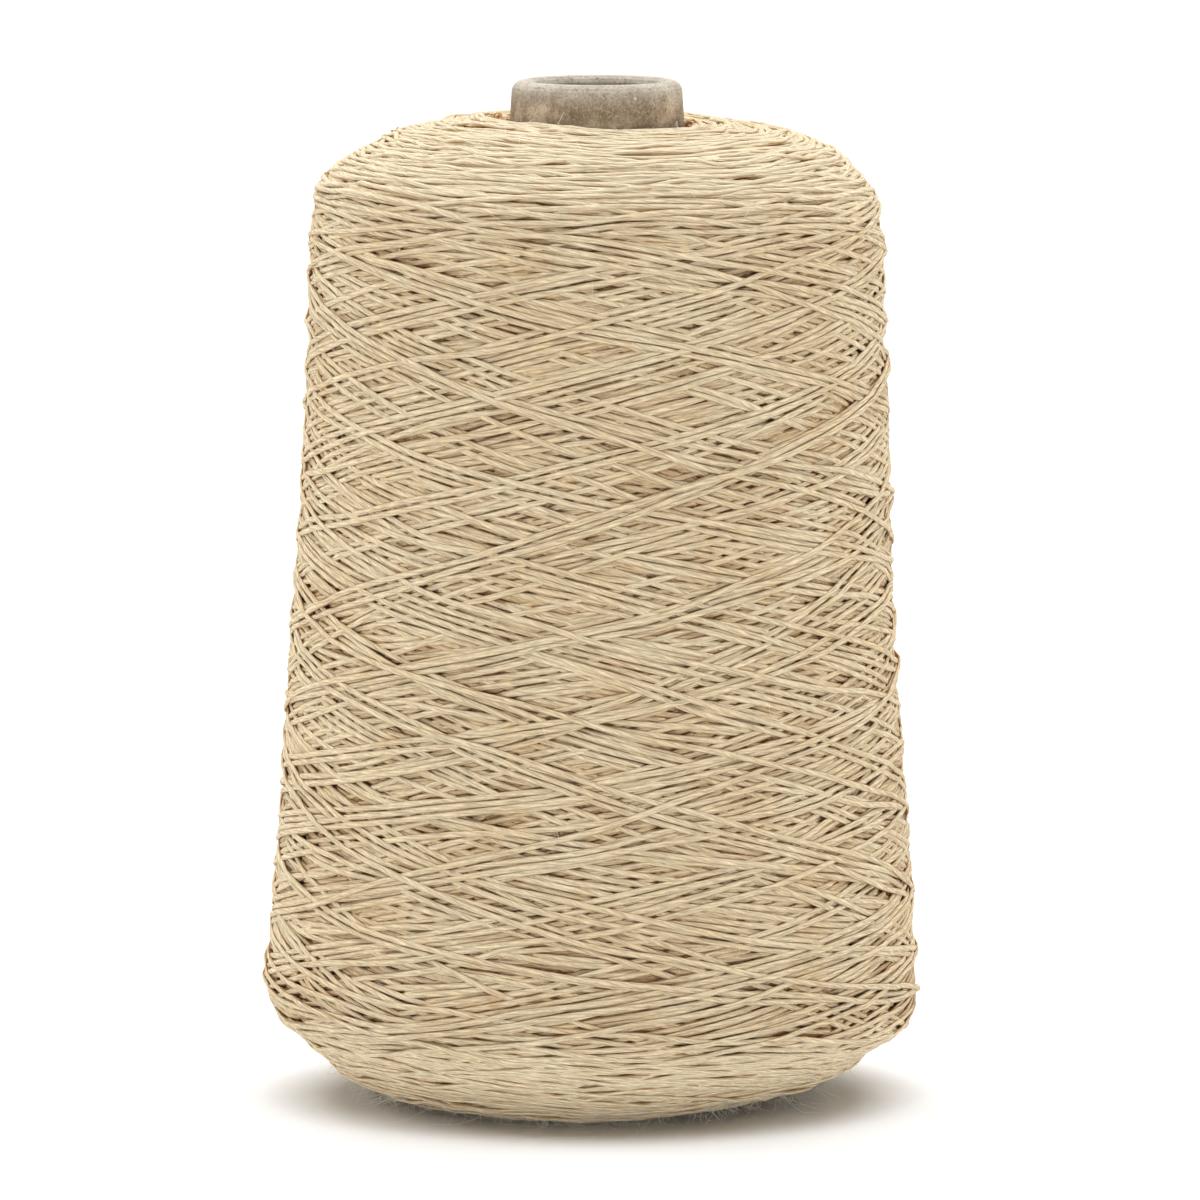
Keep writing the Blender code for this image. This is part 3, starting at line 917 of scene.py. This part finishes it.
class Nodes:
    """A material's node tree, with short calls for what the materials share."""

    def __init__(self, name):
        self.material = bpy.data.materials.new(name)
        self.material.use_nodes = True
        self.tree = self.material.node_tree
        self.shader = self.tree.nodes["Principled BSDF"]

    def add(self, kind, inputs=None, **settings):
        node = self.tree.nodes.new(kind)
        for key, value in settings.items():
            setattr(node, key, value)
        for key, value in (inputs or {}).items():
            self.set(node, key, value)
        return node

    def set(self, node, key, value):
        if isinstance(value, bpy.types.NodeSocket):
            self.tree.links.new(value, node.inputs[key])
        else:
            node.inputs[key].default_value = value

    def position(self):
        return self.add("ShaderNodeNewGeometry").outputs["Position"]

    def attribute(self, name):
        return self.add("ShaderNodeAttribute", attribute_name=name).outputs["Fac"]

    def split(self, vector):
        return self.add("ShaderNodeSeparateXYZ", {0: vector}).outputs

    def vector(self, x, y, z):
        return self.add("ShaderNodeCombineXYZ", {0: x, 1: y, 2: z}).outputs[0]

    def math(self, operation, a, b=0.0, c=0.0):
        node = self.add("ShaderNodeMath", {0: a, 1: b, 2: c}, operation=operation)
        return node.outputs[0]

    def times(self, a, b):
        return self.math("MULTIPLY", a, b)

    def mix(self, share, a, b, blend="MIX"):
        node = self.add("ShaderNodeMix", data_type="RGBA", blend_type=blend)
        self.set(node, 0, share)
        self.set(node, 6, a)
        self.set(node, 7, b)
        return node.outputs[2]

    def noise(self, vector, scale, detail=2.0, roughness=0.5):
        inputs = {"Vector": vector, "Scale": scale, "Detail": detail, "Roughness": roughness}
        return self.add("ShaderNodeTexNoise", inputs).outputs["Fac"]

    def ramp(self, value, low, high):
        """A smooth step from 0 at low to 1 at high."""
        node = self.add("ShaderNodeMapRange", {0: value, 1: low, 2: high}, interpolation_type="SMOOTHSTEP")
        return node.outputs[0]

    def share(self, value, low, high, most):
        """A smooth step from 0 at low to most at high."""
        return self.times(self.ramp(value, low, high), most)

    def specks(self, vector, scale, size, gone):
        """1 in round specks, one to a cell, in all but about this share of the cells."""
        cells = self.add("ShaderNodeTexVoronoi", {"Vector": vector, "Scale": scale}, feature="F1")
        inside = self.math("LESS_THAN", cells.outputs["Distance"], size)
        kept = self.math("GREATER_THAN", self.split(cells.outputs["Color"])[0], gone)
        return self.times(inside, kept)

    def bump(self, height, strength, distance):
        node = self.add("ShaderNodeBump", {"Height": height, "Strength": strength, "Distance": distance})
        self.set(self.shader, "Normal", node.outputs[0])

    def finish(self, colour, roughness, specular):
        self.set(self.shader, "Base Color", colour)
        self.set(self.shader, "Roughness", roughness)
        self.set(self.shader, "Specular IOR Level", specular)
        return self.material


def cotton_material(name):
    """Plied cotton: plies that twist round the strand, a little fibre, and small drifts of colour.

    Shade is painted into the ply grooves and fibres, on the sides of each strand, deeper down in the
    winding and on the crown, and light is painted onto the foot.
    """
    nodes = Nodes(name)
    along, around = nodes.split(nodes.add("ShaderNodeUVMap", uv_map="strand").outputs[0])[:2]
    tone = nodes.attribute("tone")
    sway_stretch, sway_size = PLY_SWAY
    sway = nodes.noise(nodes.vector(nodes.times(along, sway_stretch), tone, around), 1.0)
    lead = nodes.math("MULTIPLY_ADD", along, PLIES / PLY_PITCH, nodes.times(sway, sway_size))
    phase = nodes.math("SUBTRACT", nodes.times(around, PLIES), lead)
    wave = nodes.math("ABSOLUTE", nodes.math("SINE", nodes.times(phase, math.pi)))
    groove = nodes.math("POWER", wave, GROOVE_POWER)
    fibre_place = nodes.vector(nodes.times(along, FIBRE_STRETCH), phase, tone)
    fibre = nodes.noise(fibre_place, 1.3, 3.0, 0.6)
    position = nodes.position()
    drift = nodes.noise(position, 60.0)
    patch = nodes.noise(position, 140.0)
    colour = nodes.mix(nodes.ramp(drift, 0.35, 0.65), DEEP, PALE)
    colour = nodes.mix(nodes.times(tone, 0.35), colour, PALE)
    colour = nodes.mix(nodes.share(patch, 0.60, 0.78, 0.35), colour, WARM)
    height = nodes.split(position)[2]
    on_dome = nodes.ramp(height, *DOME_RAMP)
    on_foot = nodes.ramp(height, *FOOT_RAMP)
    # Painted shade: the crown's cotton is made duller and slightly darker under the light from above.
    colour = nodes.mix(nodes.times(on_dome, 0.9), colour, DOME_PAINTED_SHADE_COLOUR)
    # Painted light: the cotton turns paler towards the floor.
    colour = nodes.mix(nodes.times(on_foot, 0.8), colour, FOOT_PAINTED_LIGHT_COLOUR)
    # Painted shade: the deeper a point lies below the top of the winding, the more it takes this dark warm
    # colour.
    colour = nodes.mix(nodes.share(nodes.attribute("sunk"), 0.2, 2.0, 0.6), colour, SUNK_SHADE_COLOUR)
    # Painted shade: the sides and underside of each strand go towards a dark warm brown, as if shaded by
    # the strands beside it.
    upward = nodes.math("SINE", nodes.times(around, TAU))
    side_shade_colour = nodes.mix(on_dome, FLANK_SIDE_SHADE, DOME_SIDE_SHADE)
    side_shade_colour = nodes.mix(on_foot, side_shade_colour, FOOT_SIDE_SHADE)
    colour = nodes.mix(nodes.share(upward, 0.60, -0.15, 0.85), colour, side_shade_colour)
    shade = nodes.math("MULTIPLY_ADD", groove, *GROOVE_SHADE)
    shade = nodes.times(shade, nodes.math("MULTIPLY_ADD", fibre, *FIBRE_SHADE))
    contrast = nodes.math("MULTIPLY_ADD", on_dome, DOME_CONTRAST, 1.0)
    shade = nodes.math("MULTIPLY_ADD", nodes.math("SUBTRACT", shade, GREY_MIDDLE), contrast, GREY_MIDDLE)
    colour = nodes.mix(1.0, colour, nodes.vector(shade, shade, shade), "MULTIPLY")
    ridges = nodes.math("ADD", nodes.times(groove, 0.5), nodes.times(fibre, 0.8))
    nodes.bump(ridges, 1.0, 0.18 * MM)
    nodes.set(nodes.shader, "Sheen Weight", 0.15)
    nodes.set(nodes.shader, "Sheen Roughness", 0.4)
    nodes.set(nodes.shader, "Sheen Tint", SHEEN_TINT)
    return nodes.finish(colour, 0.85, 0.12)


def fuzz_material(name):
    """Single cotton fibres, paler than the yarn, and paler still as painted light, so that they show lit
    over the shadow.
    """
    nodes = Nodes(name)
    drift = nodes.noise(nodes.position(), 300.0)
    return nodes.finish(nodes.mix(nodes.ramp(drift, 0.3, 0.7), *FUZZ_PALE_AND_LIT_COLOURS), 0.8, 0.3)


def kink_material(name):
    """Kinked yarn, orange-brown in places."""
    nodes = Nodes(name)
    drift = nodes.noise(nodes.position(), 900.0)
    return nodes.finish(nodes.mix(nodes.ramp(drift, 0.35, 0.65), *KINK_COLOURS), 0.85, 0.2)


def body_material(name):
    """The yarn below the turns that show, streaked level, and dark brown as painted shade down between the
    turns.
    """
    nodes = Nodes(name)
    streaks = nodes.add("ShaderNodeMapping", {"Vector": nodes.position(), "Scale": (1, 1, 14)})
    band = nodes.noise(streaks.outputs[0], 60.0, 3.0)
    nodes.bump(band, 0.8, 0.8 * MM)
    return nodes.finish(nodes.mix(band, *BODY_SHADE_COLOURS), 0.9, 0.2)


def paper_material(name):
    """Grey recycled paperboard: mottled, with dark and light grain and specks."""
    nodes = Nodes(name)
    position = nodes.position()
    cloud = nodes.noise(position, 200.0, 4.0, 0.6)
    grain = nodes.noise(position, 1500.0, 3.0, 0.7)
    fine = nodes.noise(position, 3200.0, 2.0, 0.6)
    blotch = nodes.noise(position, 85.0)
    brown = nodes.mix(nodes.ramp(cloud, 0.35, 0.65), *PAPER_BROWNS)
    brown = nodes.mix(nodes.share(blotch, 0.50, 0.64, 0.7), brown, BLOTCH_COLOUR)
    grey = nodes.mix(nodes.ramp(cloud, 0.3, 0.7), *PAPER_GREYS)
    colour = nodes.mix(nodes.ramp(nodes.split(position)[2], *NOSE_RAMP), brown, grey)
    colour = nodes.mix(nodes.share(grain, 0.50, 0.68, 0.55), colour, (0.52, 0.47, 0.39, 1))
    colour = nodes.mix(nodes.share(grain, 0.48, 0.32, 0.60), colour, (0.15, 0.115, 0.08, 1))
    colour = nodes.mix(nodes.share(fine, 0.46, 0.30, 0.55), colour, (0.13, 0.10, 0.07, 1))
    for scale, size, gone, strength, speck_colour in PAPER_SPECKS:
        specks = nodes.specks(position, scale, size, gone)
        colour = nodes.mix(nodes.times(specks, strength), colour, speck_colour)
    nodes.bump(nodes.math("ADD", grain, nodes.times(cloud, 0.8)), 0.5, 0.2 * MM)
    return nodes.finish(colour, 0.88, 0.25)


def floor_material(name):
    return Nodes(name).finish(FLOOR_COLOUR, 0.7, 0.5)


# --- the studio


def add_camera():
    """A long lens that looks down a little, placed so that the cone lies in the frame as photographed."""
    pixel = CAMERA_DISTANCE / FOCAL_PIXELS
    back = Vector((0, -math.cos(CAMERA_ELEVATION), math.sin(CAMERA_ELEVATION)))
    up = Vector((0, math.sin(CAMERA_ELEVATION), math.cos(CAMERA_ELEVATION)))
    target = Vector((0, 0, AIM_HEIGHT))
    target.x += (FRAME_PIXELS / 2 - AIM_PIXEL[0]) * pixel
    target -= up * (FRAME_PIXELS / 2 - AIM_PIXEL[1]) * pixel
    data = bpy.data.cameras.new("camera")
    data.sensor_width = SENSOR_WIDTH
    data.lens = SENSOR_WIDTH * FOCAL_PIXELS / FRAME_PIXELS
    camera = new_object("camera", data)
    camera.location = target + back * CAMERA_DISTANCE
    camera.rotation_euler = (-back).to_track_quat("-Z", "Y").to_euler()
    bpy.context.scene.camera = camera


def add_light(name, place, target, size, power):
    data = bpy.data.lights.new(name, "AREA")
    data.shape = "RECTANGLE"
    data.size, data.size_y = size
    data.energy = power
    light = new_object(name, data)
    light.location = place
    light.rotation_euler = (Vector(target) - Vector(place)).to_track_quat("-Z", "Y").to_euler()


def add_studio():
    for light in LIGHTS:
        add_light(*light)
    world = bpy.data.worlds.new("studio")
    world.use_nodes = True
    background = world.node_tree.nodes["Background"]
    background.inputs[0].default_value = (1, 1, 1, 1)
    background.inputs[1].default_value = WORLD_STRENGTH
    bpy.context.scene.world = world
    bpy.context.scene.view_settings.view_transform = "Standard"
    bpy.ops.mesh.primitive_plane_add(size=FLOOR_SIZE, location=(0, 0, 0))
    floor = bpy.context.object
    floor.name = "floor"
    floor.data.materials.append(floor_material("white_floor"))


# --- the build


def dress(piece, material):
    piece.data.materials.append(material)
    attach(piece, "root")
    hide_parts("yarn_body")


def wind_yarn():
    """Winds the package, and makes the pieces that show of it."""
    rng = np.random.default_rng(SEED)
    envelope = Envelope(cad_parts["yarn_body"])
    winding = Winding(envelope)
    wind_end(winding, rng, CHART_EDGE, envelope.shoulder, DOME_LAYERS, DOME_LAYER_TURNS, DOME_SWAY)
    foot, foot_top = envelope.length - CHART_EDGE, envelope.belly - FOOT_LAYER_RISE
    wind_end(winding, rng, foot, foot_top, FOOT_LAYERS, FOOT_LAYER_TURNS, FOOT_SWAY)
    wind_flank(winding, rng)
    base = lowpass(winding.height, *winding.blur)
    base += np.percentile(winding.height - base, TOP_SHARE)
    runs = visible_runs(winding, winding.height - base)
    rings, starts = ring_places(winding, runs, base)
    material = cotton_material("cotton_yarn")
    bounds = np.append(starts, len(rings["along"]))
    share = bounds[-1] / PIECES
    first = 0
    for piece in range(PIECES):
        last = len(starts) if piece == PIECES - 1 else int(np.searchsorted(starts, share * (piece + 1)))
        low, high = bounds[first], bounds[last]
        part = {key: values[low:high] for key, values in rings.items()}
        dress(strand_mesh(f"yarn_turns_{piece + 1}", part, starts[first:last] - low, rng), material)
        first = last
    dress(inner_body(envelope, "yarn_inner"), body_material("shaded_inner_yarn"))
    dress(fuzz_mesh("yarn_fuzz", winding, base, rng), fuzz_material("cotton_fuzz"))
    dress(kink_mesh("yarn_kinks", winding, base, rng), kink_material("kinked_cotton"))


def finish_core():
    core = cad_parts["paper_core"]
    core.data.materials.clear()
    core.data.materials.append(paper_material("recycled_paper"))


add_camera()
add_studio()
finish_core()
wind_yarn()
